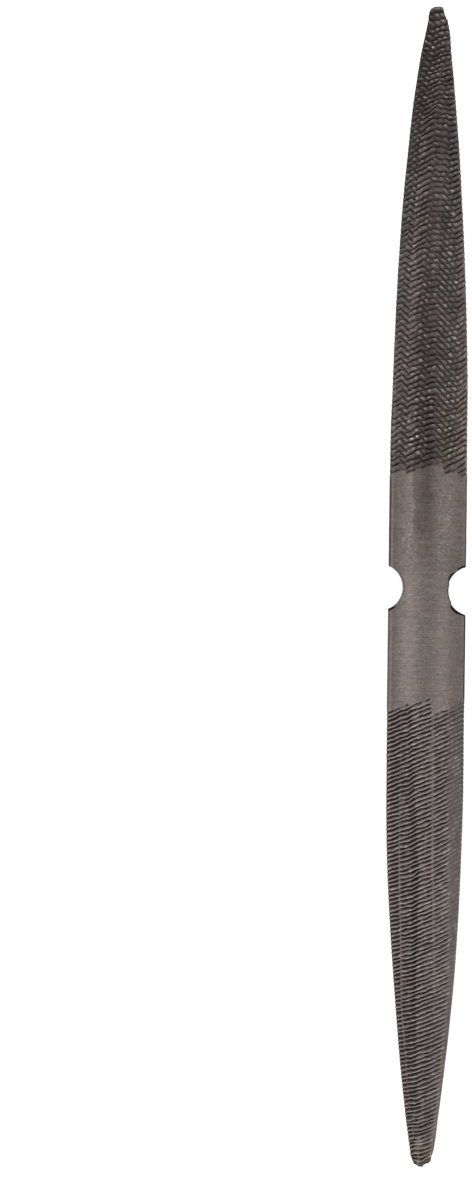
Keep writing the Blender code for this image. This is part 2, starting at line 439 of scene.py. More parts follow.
def place(name, description, default):
    """A property that holds a place along an axis in metres."""
    return bpy.props.FloatProperty(
        name=name, description=description, default=default, unit="LENGTH", precision=5
    )


def whole(name, description, default):
    """A property that holds a whole number."""
    return bpy.props.IntProperty(name=name, description=description, default=default)


def properties(table, column):
    """The properties of one of two like groups, whose defaults stand side by side in a table."""
    return {
        field: kind(field.replace("_", " ").capitalize(), text, values[column])
        for field, kind, text, *values in table
    }


class BarSizes(bpy.types.PropertyGroup):
    """The forged bar without its teeth."""

    overall_length: length("Overall length", "From tip to tip", BAR_HIGH.y - BAR_LOW.y)
    width: length("Width", "Across the waist", -2 * BAR_LOW.x)
    thickness: length("Thickness", "From the flat face to the crown of the round face", BAR_HIGH.z)
    edge_thickness: length("Edge thickness", "Where the round face would run out into the side", 0.0010)
    side_height: length("Side height", "The upright part of the side, under its worn corner", 0.0006)
    left_corner: length("Left corner", "Width of the worn left corner, seen from above", 0.0007)
    right_corner: length("Right corner", "Width of the worn right corner, seen from above", 0.0005)
    foot_round: length("Foot round", "Rounding between the sides and the flat face", 0.00012)
    shear_clear: length("Straight rows", "How far the middle keeps its rows square to the bar", 0.0075)
    unevenness: length("Unevenness", "How far the hand grinding dips below the true surface", 0.00003)
    notch_rim: length("Notch rim", "Width of the broken edge round each notch", 0.00034)


# Each property of a cut end, with its default at the coarse and at the fine end
END_SIZES = (
    ("side", whole, "Direction along Y", 1, -1),
    ("tip_width", length, "Across the tip", 0.00247, 0.00420),
    ("tip_thickness", length, "At the tip", 0.0016, 0.0018),
    ("tip_round", length, "Length of the rounding at the tip", 0.0004, 0.0005),
    ("tip_flat_share", share, "How much of the section the very tip has", 0.97, 0.96),
    ("tip_flare", length, "How much further left the tip's left edge stands", 0.00024, 0.0),
    ("tip_swell", length, "How far the bar behind the tip stands right", 0.00030, 0.00008),
    ("climb_fade", length, "Before the tip, where the rows straighten", 0.005, 0.0024),
    ("taper_length", length, "From the tip to the full section", 0.1009, 0.0837),
    ("taper_power", share, "How fast the taper opens", 1.90, 1.83),
    ("taper_swell", share, "How full the taper is near the tip", 0.71, 0.956),
    ("bow", length, "How far the tip stands to the right", 0.0008, 0.00028),
    ("bow_start", length, "Where the bar starts to curve, from its middle", 0.080, 0.055),
    ("bow_reach", length, "How long the curve would be", 0.056, 0.035),
    ("bend", length, "How far the middle of the half stands to the right", 0.00016, 0.00004),
    ("heel", length, "From the bar's middle to the first tooth on the axis", 0.0276, 0.0247),
    ("pitch_at_heel", length, "Between strokes, along the bar", 0.00126, 0.00097),
    ("pitch_at_tip", length, "Between strokes, along the bar", 0.00119, 0.00094),
    ("depth", length, "From crest to gullet", 0.00040, 0.00034),
    ("front_share", share, "How much of the pitch the steep front takes", 0.14, 0.18),
    ("floor_share", share, "Where along the pitch the gullet ends", 0.21, 0.34),
    ("tip_floor_share", share, "The same near the tip", 0.28, 0.38),
    ("back_power", share, "How round the back of a tooth is", 2.4, 1.8),
    ("tip_back_power", share, "The same near the tip", 1.6, 1.5),
    ("overcut_pitch", length, "Between crossing strokes, if any", 0.00156, 0.00156),
    ("overcut_slant", angle, "How steeply crossing strokes fall to the right", 45, 45),
    ("overcut_width_share", share, "Half a groove, of its pitch", 0.31, 0.31),
    ("plain_margin", length, "From the last tooth to the tip", 0.00012, 0.0005),
    ("ragged", length, "How far the strokes stray from an even pitch", 0.00014, 0.00009),
    ("left_edge_share", share, "Of the teeth's depth in the left corner", 0.2, 1.1),
    ("right_edge_share", share, "Of the teeth's depth in the right corner", 1.1, 0.5),
    # The crests' brightness is partly worn steel and partly painted highlight; the glints are painted
    # highlights
    ("wear", share, "How bright the crests are worn", 0.20, 0.75),
    ("sparkle", share, "How bright the scattered glints are", 0.45, 0.6),
    ("seed", whole, "Of the strokes' straying", 11, 23),
)

# Each property of a notch, with its default for the left and for the right one. A flare that ends past the
# notch's own corner has no end
NOTCH_SIZES = (
    ("radius", length, "Of its arc, whose centre lies outside the bar", 0.0051, 0.0054),
    ("depth", length, "From the bar's edge", 0.0031, 0.0040),
    ("place", place, "Of its middle along the bar", -0.0003, -0.0009),
    ("lean", length, "How far its wall leans out from face to foot", 0.0, 0.00005),
    ("flare", length, "How much more parts of its wall lean", 0.00046, 0.00060),
    ("upper_start", length, "Of the flare towards the coarse end", 0.0040, 0.0012),
    ("upper_end", length, "Of the flare towards the coarse end", 0.010, 0.0036),
    ("lower_start", length, "Of the flare towards the fine end", 0.0029, 0.0024),
    ("lower_end", length, "Of the flare towards the fine end", 0.010, 0.0048),
)


class CoarseEnd(bpy.types.PropertyGroup):
    """The coarse end, cut twice."""

    __annotations__ = properties(END_SIZES, 0)


class FineEnd(bpy.types.PropertyGroup):
    """The fine end, cut once."""

    __annotations__ = properties(END_SIZES, 1)


class LeftNotch(bpy.types.PropertyGroup):
    """The round notch in the waist's left edge."""

    __annotations__ = properties(NOTCH_SIZES, 0)


class RightNotch(bpy.types.PropertyGroup):
    """The round notch in the waist's right edge."""

    __annotations__ = properties(NOTCH_SIZES, 1)


class SteelFinish(bpy.types.PropertyGroup):
    """The hardened steel's colours."""

    ground: colour("Ground steel", "Of the plain, ground surface", (0.188, 0.161, 0.153))
    scale: colour("Scale", "Of the dark scale between the teeth", (0.091, 0.083, 0.088))
    # Partly worn steel, partly painted highlight: the colour of the lighter crests, and of the painted bright
    # flecks on the waist
    crest: colour("Crest", "Of the worn tooth crests", (0.360, 0.322, 0.304))
    # Painted highlight: the colour of the painted glints on single tooth tops
    glint: colour("Glint", "Of the brightest worn corners", (0.620, 0.580, 0.555))
    # Painted shade too: the gullets' colour is the scale left in them and also stands in for their shade
    gullet: colour("Gullet", "Of the scale left in the gullets", (0.024, 0.0195, 0.0195))
    stained_gullet: colour("Stained gullet", "Of the gullets in the brown strips", (0.036, 0.019, 0.016))
    # Painted shade too: this dark colour is the dull scale on the sides, and stands in for shade along the
    # edges, round the fine tip and in deep strokes
    unground: colour("Unground", "Of the dull scale on the sides", (0.016, 0.014, 0.014))
    # Darkens the waist, the painted dark reflection in the middle of its coarse half and the painted shade on
    # the notch rims
    tarnish_wash: colour("Tarnish wash", "What the tarnish leaves of the light", (0.58, 0.555, 0.52))
    rust_wash: colour("Rust wash", "What the brown stain leaves of the light", (1.0, 0.89, 0.86))
    olive_wash: colour("Olive wash", "What the olive stain leaves of the light", (0.96, 0.98, 0.91))
    straw_wash: colour("Straw wash", "What the straw tint leaves of the light", (1.06, 1.04, 0.88))


class StageSizes(bpy.types.PropertyGroup):
    """The camera and the light."""

    camera_height: length("Camera height", "Above the surface that the file lies on", 0.50)
    lean: angle("Lean", "How far the bar leans to the right in the picture", 0.71)
    world_level: share("World level", "Brightness of the room", 0.75)
    box_level: share("Softbox level", "Brightness of the two softboxes' faces", 1.27)


class WoodFileSettings(bpy.types.PropertyGroup):
    """Everything that sets the file's shape and finish."""

    bar: bpy.props.PointerProperty(type=BarSizes)
    coarse: bpy.props.PointerProperty(type=CoarseEnd)
    fine: bpy.props.PointerProperty(type=FineEnd)
    left_notch: bpy.props.PointerProperty(type=LeftNotch)
    right_notch: bpy.props.PointerProperty(type=RightNotch)
    steel: bpy.props.PointerProperty(type=SteelFinish)
    stage: bpy.props.PointerProperty(type=StageSizes)


def eased(value):
    """3v^2 - 2v^3 of a value held between 0 and 1."""
    held = np.clip(value, 0.0, 1.0)
    return held * held * (3 - 2 * held)


def past(value, span):
    """0 up to the start of a span and 1 from its end on, eased in between."""
    start, run = span
    return eased((value - start) / run)


def short_of(value, span):
    """1 up to the start of a span and 0 from its end on, eased in between."""
    return 1 - past(value, span)


def within(value, rise, fall):
    """0 outside two spans and 1 between them, eased over both."""
    return past(value, rise) * short_of(value, fall)


def stepped(value, width):
    """0 to 1, eased over a width that is centred on a value of 0."""
    return eased(value / width + 0.5)


def between(table, along, across):
    """Smooth random values: a table's entries, eased from one to the next both ways."""
    along = np.clip(along, 0, table.shape[0] - 1.001)
    across = np.clip(across, 0, table.shape[1] - 1.001)
    row, column = along.astype(int), across.astype(int)
    down, right = eased(along - row), eased(across - column)
    upper = table[row, column] * (1 - right) + table[row, column + 1] * right
    lower = table[row + 1, column] * (1 - right) + table[row + 1, column + 1] * right
    return upper * (1 - down) + lower * down


def eased_area(value):
    """The area under eased from 0 to a value: v^3 - v^4 / 2, and past 1 it grows evenly."""
    held = np.clip(value, 0.0, 1.0)
    return held**3 - held**4 / 2 + np.maximum(value - 1, 0.0)


def strip_rows(strips, places, field, station):
    """That field of every strip at every row, straight between the places where it is given."""
    rows = []
    for strip in strips:
        value = getattr(strip, field)
        rows.append(np.interp(station, places, value)[:, None] if isinstance(value, tuple) else value)
    return rows


def strip_blend(strips, levels, borders, across_share, step_share=None):
    """A value at each share of the half width, eased from each strip's level to the next at their border."""
    value = levels[0] + np.zeros_like(across_share)
    for strip, level, following, border in zip(strips, levels, levels[1:], borders):
        width = step_share or strip.step_share
        value = value + (following - level) * stepped(across_share - border, width)
    return value


def stroke_climb(strips, slopes, borders, across_share, half):
    """How far along the bar a row of teeth has climbed at each share of the half width.

    It is the running sum of the strips' slopes, taken so that the two edges climb equally up and down.
    """

    def run(at):
        total = slopes[0] * at
        for strip, slope, following, border in zip(strips, slopes, slopes[1:], borders):
            width = strip.step_share
            total = total + (following - slope) * width * eased_area((at - border) / width + 0.5)
        return total

    return half * (run(across_share) - (run(-1.0) + run(1.0)) / 2)


def section(bar, end, distance):
    """Half width and rise of the round face at each distance from the tip.

    Both grow as (1 - (1 - distance / taper length)^power)^swell, and the last stretch before the tip is
    rounded off by a quarter of an ellipse.
    """
    remaining = np.clip(1 - distance / end.taper_length, 0, 1)
    growth = (1 - remaining**end.taper_power) ** end.taper_swell
    width = end.tip_width + (bar.width - end.tip_width) * growth
    thickness = end.tip_thickness + (bar.thickness - end.tip_thickness) * growth
    short = np.clip(1 - distance / end.tip_round, 0, 1)
    rounding = end.tip_flat_share + (1 - end.tip_flat_share) * np.sqrt(1 - short**2)
    return width / 2 * rounding, (thickness - bar.edge_thickness) * rounding


def notch_reach(bar, notch, out, offset, half):
    """How far the bar reaches sideways at each offset along the bar from a notch's middle.

    That is the edge, or where the notch cuts in, an arc about a fixed centre, wider by out.
    """
    centre = bar.width / 2 + notch.radius - notch.depth
    inside = (notch.radius + out) ** 2 - offset**2
    wall = centre - np.sqrt(np.clip(inside, 0, None))
    return np.where(inside > 0, np.minimum(half, wall), half)


def tooth_place(end, bar, phase):
    """Distance from the tip of each phase: the pitch closes up evenly from heel to tip."""
    cut = bar.overall_length / 2 - end.heel
    count = (cut - end.plain_margin) / ((end.pitch_at_heel + end.pitch_at_tip) / 2)
    closing = (end.pitch_at_heel - end.pitch_at_tip) / (2 * count)
    return cut - end.pitch_at_heel * phase + closing * phase**2, count


def row_phases(settings, end, strips, steps):
    """The phase of every row from the middle to the tip, and its distance from the tip."""
    bar = settings.bar
    half = bar.overall_length / 2
    first = min(strip.first_tooth for strip in strips) - 1
    _, count = tooth_place(end, bar, np.zeros(1))
    teeth = np.arange(first, int(count) + 1)
    phases = (teeth[:, None] + np.array(steps)[None, :]).ravel()
    places, _ = tooth_place(end, bar, phases)
    phases, places = phases[places > end.plain_margin], places[places > end.plain_margin]
    corners = [0.0, bar.shear_clear]
    for notch in (settings.left_notch, settings.right_notch):
        chord = math.sqrt(notch.radius**2 - (notch.radius - notch.depth) ** 2)
        corners.append(end.side * notch.place + chord)
    inner = np.concatenate((np.linspace(0, bar.shear_clear, NOTCH_ROWS), corners))
    outer = np.linspace(bar.shear_clear, half - places[0], PLAIN_ROWS)[1:-1]
    plain = np.unique(np.round(np.concatenate((inner, outer)), ROW_DIGITS))
    plain_places = half - plain
    heel_phase = (half - end.heel - plain_places) / end.pitch_at_heel
    tip_places = np.linspace(1, 0, TIP_ROWS + 1)[1:] ** TIP_ROW_POWER * places[-1]
    tip_phases = phases[-1] + (places[-1] - tip_places) / end.pitch_at_tip
    return (
        np.concatenate((heel_phase, phases, tip_phases)),
        np.concatenate((plain_places, places, tip_places)),
    )


def wall_flare(notch, offset):
    """How much more a notch's wall leans at each offset along the bar from the notch's middle.

    It flares in a stretch on each side of its middle, and once more at the upper corner.
    """
    upper = within(offset, (notch.upper_start, UPPER_FLARE_RISE), (notch.upper_end, FLARE_FALL))
    lower = past(-offset, (notch.lower_start, LOWER_FLARE_RISE))
    lower = lower * (1 - LOWER_FLARE_LOSS_SHARE * past(-offset, (notch.lower_end, FLARE_FALL)))
    corner = CORNER_FLARE_SHARE * past(offset - notch.upper_end, CORNER_FLARE_START)
    return notch.flare * np.maximum.reduce((upper, lower, corner))


def side_profile(bar, reach_edge, reach_foot, corner, rise, notched):
    """One side from the round face down to the flat face, as outward place, height and outward normal.

    A quadratic curve rounds the corner, a straight wall follows, and a quarter circle meets the flat face.
    Inside a notch the corner is only the broken rim, the wall is as tall as the bar is thick there, and it
    leans out to its own foot.
    """
    half = np.maximum(reach_edge, LEAST_REACH)
    full_half, lift = rise
    radius = (full_half**2 + lift**2) / (2 * lift)
    base = bar.edge_thickness + lift - radius
    corner_here = corner * full_half / (bar.width / 2) * (1 - notched) + bar.notch_rim * notched
    start_x = half - corner_here
    start_z = base + np.sqrt(radius**2 - start_x**2)
    edge_z = base + np.sqrt(np.clip(radius**2 - half**2, 0, None))
    end_z = bar.side_height * (1 - notched) + (edge_z - bar.notch_rim) * notched
    slope = start_x / np.sqrt(radius**2 - start_x**2)
    mid_z = np.maximum(start_z - slope * corner_here, end_z)
    u = CORNER_TURN[None, :]
    x0, z0, z1, z2, x2 = (v[:, None] for v in (start_x, start_z, mid_z, end_z, half))
    x1 = x2
    corner_x = (1 - u) ** 2 * x0 + 2 * u * (1 - u) * x1 + u**2 * x2
    corner_z = (1 - u) ** 2 * z0 + 2 * u * (1 - u) * z1 + u**2 * z2
    run_x = 2 * (1 - u) * (x1 - x0) + 2 * u * (x2 - x1)
    run_z = 2 * (1 - u) * (z1 - z0) + 2 * u * (z2 - z1)
    size = np.sqrt(run_x**2 + run_z**2) + LEAST_RUN
    foot = np.minimum(bar.foot_round, z2 * FOOT_SHARE)
    down = np.linspace(0, 1, WALL_COLUMNS + 1)[1:][None, :]
    wall_z = z2 + (foot - z2) * down
    foot_x = np.maximum(reach_foot[:, None], x2)
    wall_x = x2 + (foot_x - x2) * down
    turn = np.linspace(0, math.pi / 2, FOOT_COLUMNS + 1)[1:][None, :]
    bend_x = foot_x - foot + foot * np.cos(turn)
    bend_z = foot - foot * np.sin(turn)
    outward = np.hstack((corner_x, wall_x, bend_x))
    height = np.hstack((corner_z, wall_z, bend_z))
    normal_x = np.hstack((-run_z / size, np.ones_like(wall_z), np.broadcast_to(np.cos(turn), bend_z.shape)))
    normal_z = np.hstack((run_x / size, np.zeros_like(wall_z), np.broadcast_to(-np.sin(turn), bend_z.shape)))
    return outward, height, normal_x, normal_z, start_x


def uncut_rows(settings, end, distance, y):
    """The section without teeth, one row for each distance: place, height and normal.

    The round face is an arc of radius (half^2 + rise^2) / (2 rise). The last two arrays say where the
    notches' broken rims lie, and where the left notch's wall faces the light and so gets less painted shade.
    """
    bar = settings.bar
    half, lift = section(bar, end, distance)
    sides, in_notch, unflared = [], [], []
    for notch, corner in ((settings.left_notch, bar.left_corner), (settings.right_notch, bar.right_corner)):
        offset = y - notch.place
        flared = wall_flare(notch, offset)
        reach = notch_reach(bar, notch, notch.lean + flared, offset, half)
        foot = notch_reach(bar, notch, 0.0, offset, half)
        notched = eased((half - reach) / corner)
        sides.append(side_profile(bar, reach, foot, corner, (half, lift), notched))
        in_notch.append(notched[:, None])
        unflared.append((1 - flared / notch.flare)[:, None])
    (lx, lz, lnx, lnz, left_reach), (rx, rz, rnx, rnz, right_reach) = sides
    radius = ((half**2 + lift**2) / (2 * lift))[:, None]
    t = np.linspace(0, 1, ROUND_COLUMNS)[None, :]
    x = -left_reach[:, None] * (1 - t) + right_reach[:, None] * t
    up = np.sqrt(radius**2 - x**2)
    z = bar.edge_thickness + lift[:, None] - radius + up
    s = np.linspace(0, 1, FLAT_COLUMNS + 2)[1:-1][None, :]
    flat_x = rx[:, -1:] * (1 - s) - lx[:, -1:] * s
    zero = np.zeros_like(flat_x)
    all_x = np.hstack((-lx[:, ::-1], x, rx, flat_x))
    all_z = np.hstack((lz[:, ::-1], z, rz, zero))
    all_nx = np.hstack((-lnx[:, ::-1], x / radius, rnx, zero))
    all_nz = np.hstack((lnz[:, ::-1], up / radius, rnz, zero - 1))
    left_rim, right_rim = rim_columns()
    rim = in_notch[0] * left_rim + in_notch[1] * right_rim
    left_wall, _ = edge_columns(LIT_WALL_TURN)
    return all_x, all_z, all_nx, all_nz, rim, in_notch[0] * unflared[0] * left_wall


def round_section(left, face, right, flat):
    """One value for every column: left side, round face, right side and flat face."""
    face, flat = np.full(ROUND_COLUMNS, face), np.full(FLAT_COLUMNS, flat)
    return np.concatenate((left[::-1], face, right, flat))[None, :]


def on_sides(corner, below):
    """Two values for every column, for something on the left and on the right side alone."""
    side = np.concatenate((corner, np.full(WALL_COLUMNS + FOOT_COLUMNS, below)))
    none = np.zeros(len(side))
    return round_section(side, 0.0, none, 0.0), round_section(none, 0.0, side, 0.0)


def edge_columns(turn):
    """How much of each column is left edge and right edge: it grows over that span of the corner's turn."""
    return on_sides(past(CORNER_TURN, turn), 1.0)


def rim_columns():
    """The first columns of each corner, which are the inner half of the broken rim inside a notch."""
    return on_sides(np.where(CORNER_TURN < RIM_TURN_SHARE, 1.0, 0.0), 0.0)


def wall_columns():
    """How much of each column is wall: none on the two faces, and little on the corners' upper part."""
    left, right = on_sides(CORNER_TURN**WALL_TURN_POWER, 1.0)
    return left + right


def flat_columns():
    """True for the columns of the flat face."""
    side = np.zeros(CORNER_COLUMNS + WALL_COLUMNS + FOOT_COLUMNS)
    return round_section(side, 0.0, side, 1.0) > 0


def cut_columns(end):
    """How deep the teeth are in each column, which in the corners runs from the face's depth to their own."""
    below = np.full(WALL_COLUMNS + FOOT_COLUMNS, WALL_CUT_SHARE)
    left, right = (
        np.concatenate((np.interp(CORNER_TURN, (0, EDGE_CUT_TURN_SHARE), (1.0, corner)), below))
        for corner in (end.left_edge_share, end.right_edge_share)
    )
    return round_section(left, 1.0, right, FLAT_CUT_SHARE)


def tooth_profile(end, part, near_tip):
    """Depth along one pitch, 0 at the crest and 1 in the gullet.

    A steep eased front, a short floor, then a back that rises as (1 - u)^power to the next crest. Near the
    tip the floor is longer and the back straighter.
    """
    floor = end.floor_share + (end.tip_floor_share - end.floor_share) * near_tip
    power = end.back_power + (end.tip_back_power - end.back_power) * near_tip
    front = eased(part / end.front_share)
    back = np.clip((part - floor) / (1 - floor), 0, 1)
    return np.where(part < end.front_share, front, (1 - back) ** power)


def groove_profile(width, part):
    """Depth of a crossing groove along one pitch: a rounded V, 1 in its middle."""
    return np.clip(1 - np.abs(part - 0.5) / width, 0, 1)


def pushed_rows(skin, wander, fade, x):
    """Every row pushed along the bar by its strokes' climb, narrowed to the width that the bar has there."""
    bar, end, strips = skin.bar, skin.end, skin.strips
    half = bar.width / 2
    slopes = strip_rows(strips, skin.places, "slopes", skin.station)
    borders = strip_rows(strips, skin.places, "right_shares", skin.station)
    row_half, row_lift = (value[:, None] for value in section(bar, end, skin.distance))
    shares = x / row_half
    ends = stroke_climb(strips, slopes, borders, row_half / half * np.array([[-1.0, 1.0]]), half)
    climb_flat = (ends[:, :1] * (1 - shares) + ends[:, 1:] * (1 + shares)) / 2
    for _ in range(PUSH_ROUNDS):
        climb = np.where(flat_columns(), climb_flat, stroke_climb(strips, slopes, borders, x / half, half))
        y = end.side * skin.station[:, None] + climb * fade + wander
        gone = np.clip(bar.overall_length / 2 - np.abs(y), 0, bar.overall_length / 2)
        half_there, lift_there = section(bar, end, gone)
        x = shares * half_there
    row_radius = (row_half**2 + row_lift**2) / (2 * row_lift)
    radius = (half_there**2 + lift_there**2) / (2 * lift_there)
    here = row_lift - row_radius + np.sqrt(np.clip(row_radius**2 - (shares * row_half) ** 2, 0, None))
    there = lift_there - radius + np.sqrt(np.clip(radius**2 - x**2, 0, None))
    grown = (bar.edge_thickness + there) / np.maximum(bar.edge_thickness + here, LEAST_HEIGHT)
    return x, y, np.clip(grown, 0, 2), gone, borders


def chances(seed):
    """The random tables of one end, drawn in this order."""
    rng = np.random.default_rng(seed)
    return SimpleNamespace(
        stray=rng.normal(0, 1, TOOTH_TABLE),
        strength=rng.normal(0, 1, TOOTH_TABLE),
        gap=rng.random(TOOTH_TABLE),
        spark=rng.random(SPARK_TABLE),
        patch=rng.random(PATCH_TABLE),
        brick=rng.random((BRICK_COUNT, BRICK_COUNT)),
    )


def chance_at(skin, table, closer=1, row_share=1, shift=0):
    """A random table's value at every point of the skin.

    It changes with the tooth, or a share as fast, and closer times as fast across the bar.
    """
    return between(table, skin.tooth * row_share, skin.across * closer + shift)


def blended(skin, field, step_share=None):
    """That field of the strips at every point, eased from each strip to the next."""
    levels = strip_rows(skin.strips, skin.places, field, skin.station)
    return strip_blend(skin.strips, levels, skin.borders, skin.across_share, step_share)


def uncut_skin(settings, end, strips, places, steps):
    """The skin of one half before its teeth are cut, from the middle to the tip.

    Each row follows one row of teeth: it is a straight section pushed along the bar by the strokes' climb,
    which fades out in the waist and at the tip.
    """
    bar = settings.bar
    skin = SimpleNamespace(bar=bar, end=end, strips=strips, places=places, chance=chances(end.seed))
    skin.phase, skin.distance = row_phases(settings, end, strips, steps)
    skin.station = bar.overall_length / 2 - skin.distance
    lead = end.heel - CLIMB_LEAD_TEETH * end.pitch_at_heel - bar.shear_clear
    fade = past(skin.station, (bar.shear_clear, lead)) * past(skin.distance, (0, end.climb_fade))
    x, z, skin.nx, skin.nz, skin.rim, skin.rubbed_wall = uncut_rows(
        settings, end, skin.distance, end.side * skin.station
    )
    skin.tooth = skin.phase[:, None] + TABLE_LEAD + np.zeros_like(x)
    skin.across = (x / bar.width + 0.5) * TABLE_STEPS_ACROSS
    finer = FINER_STRAY_SHARE * chance_at(skin, skin.chance.strength, closer=3)
    wander = end.ragged * (chance_at(skin, skin.chance.stray) + finer) * fade[:, None]
    skin.x, skin.y, grown, skin.gone, skin.borders = pushed_rows(skin, wander, fade[:, None], x)
    skin.z = z * grown
    skin.across_share = skin.x / (bar.width / 2)
    skin.flat = flat_columns()
    skin.twice_cut = max(max(strip.overcut_shares) for strip in strips) > 0
    return skin


def stroke_gain(skin):
    """How deep each stroke bites: unevenly, with some strokes half skipped and one spot rubbed down."""
    gain = 1 + UNEVEN_SHARE * chance_at(skin, skin.chance.strength, closer=2)
    skipped = SKIPPED_SHARE * past(chance_at(skin, skin.chance.gap, closer=1.5), SKIPPED_START)
    gain = np.clip(gain, *GAIN_SHARES) * (1 - skipped)
    first = FIRST_STROKE_SHARE + (1 - FIRST_STROKE_SHARE) * past(skin.stroke, SHALLOW_STROKES)
    return gain * (1 - SPOT_RUB_SHARE * rubbed_spot(skin.x, skin.y)) * first


def cut_teeth(skin):
    """Cut the teeth into the skin along the section's own normal.

    The two cuts cross, and a point lies as deep as the deeper of them. Between them stand tops like bricks,
    each a little higher or lower than the next.
    """
    end, chance, flat = skin.end, skin.chance, skin.flat
    frayed = FRAYED_STROKES * (chance_at(skin, chance.gap, closer=2, row_share=0) - 0.5)
    first = blended(skin, "first_tooth", FIRST_TOOTH_STEP_SHARE) + frayed
    skin.stroke = skin.phase[:, None] - np.where(flat, skin.strips[0].first_tooth, first)
    skin.up_share = np.where(flat, 1.0, blended(skin, "upcut_shares"))
    over_share = np.where(flat, FLAT_OVERCUT_SHARE * skin.twice_cut, blended(skin, "overcut_shares"))
    margin = past(skin.gone, (end.plain_margin * MARGIN_START_SHARE, MARGIN_EASE))
    skin.begun = stepped(skin.stroke, FIRST_STROKE_EASE) * margin
    over_begun = stepped(skin.stroke - OVERCUT_LAG_STROKES, OVERCUT_EASE) * margin

    part = np.mod(skin.phase, 1.0)[:, None] + np.zeros_like(skin.x)
    profile = tooth_profile(end, part, past(skin.station, TIP_TEETH_START)[:, None])
    up_cut = profile * skin.up_share * stroke_gain(skin) * skin.begun
    stray = OVERCUT_STRAY * chance_at(skin, chance.stray, row_share=OVERCUT_ROW_SHARE)
    crossing = (skin.y + skin.x * math.tan(end.overcut_slant) + stray) / end.overcut_pitch
    groove = groove_profile(end.overcut_width_share, np.mod(crossing, 1.0))
    cut = np.maximum(up_cut, groove * over_share * over_begun)

    gullet = (end.front_share + end.floor_share) / 2
    up_row = np.floor(skin.phase[:, None] - gullet + np.zeros_like(skin.x)).astype(int) % BRICK_COUNT
    over_row = np.floor(crossing - 0.5).astype(int) % BRICK_COUNT
    skin.sunk = chance.brick[up_row, over_row] * skin.twice_cut
    lone = np.clip((chance.brick[over_row, up_row] - LONE_TOP_SHARE) / (1 - LONE_TOP_SHARE), 0, 1)
    skin.lone_tops = lone**2 * skin.twice_cut
    skin.toothed = skin.begun * np.clip((skin.up_share + over_share) * TOOTHED_GAIN, 0, 1)
    skin.crest = np.clip(1 - cut / CREST_SHARE, 0, 1) * skin.toothed
    sunk_tops = SUNK_TOP_SHARE * skin.sunk * (1 - np.clip(cut, 0, 1)) * skin.toothed
    cut = np.clip(cut + sunk_tops, 0, DEEPEST_SHARE)

    patch_row = (skin.station / PATCH_LENGTH)[:, None] + np.zeros_like(skin.x)
    skin.patches = between(chance.patch, patch_row, skin.across / 2)
    dips = np.where(flat, 0.0, skin.bar.unevenness * skin.patches)
    depth = cut * end.depth * cut_columns(end) + dips
    skin.x = skin.x - skin.nx * depth
    skin.z = np.maximum(skin.z - skin.nz * depth, 0.0)
    skin.cut = np.clip(cut, 0, 1)


def shape_tip(skin):
    """Chip and rub the tip, and let the half bow, bend and swell to the right."""
    bar, end = skin.bar, skin.end
    skin.tip_shares = skin.x / (end.tip_width / 2)
    skin.chips = CHIP_DEPTH * chance_at(skin, skin.chance.spark, closer=3, row_share=0, shift=2)
    relief = across_tip(FINE_TIP_RELIEF if end.side < 0 else COARSE_TIP_RELIEF, skin.tip_shares)
    y = skin.y - end.side * (relief + skin.chips) * short_of(skin.distance, RELIEF_FADE)[:, None]
    skin.y = np.clip(y, -bar.overall_length / 2, bar.overall_length / 2)
    reach = np.abs(skin.y)
    x = skin.x + end.bow * past(reach, (end.bow_start, end.bow_reach))
    x = x + end.bend * within(reach, BEND_START, BEND_END)
    beside_tip = skin.across_share * bar.width / end.tip_width
    x = x + end.tip_flare * np.minimum(beside_tip, 0) * short_of(skin.gone, FLARE_FADE)
    swell = end.tip_swell * (SWELL_SHARE + SWELL_TILT_SHARE * np.clip(beside_tip, -1, 1))
    skin.x = x + swell * within(skin.gone, SWELL_START, SWELL_END)


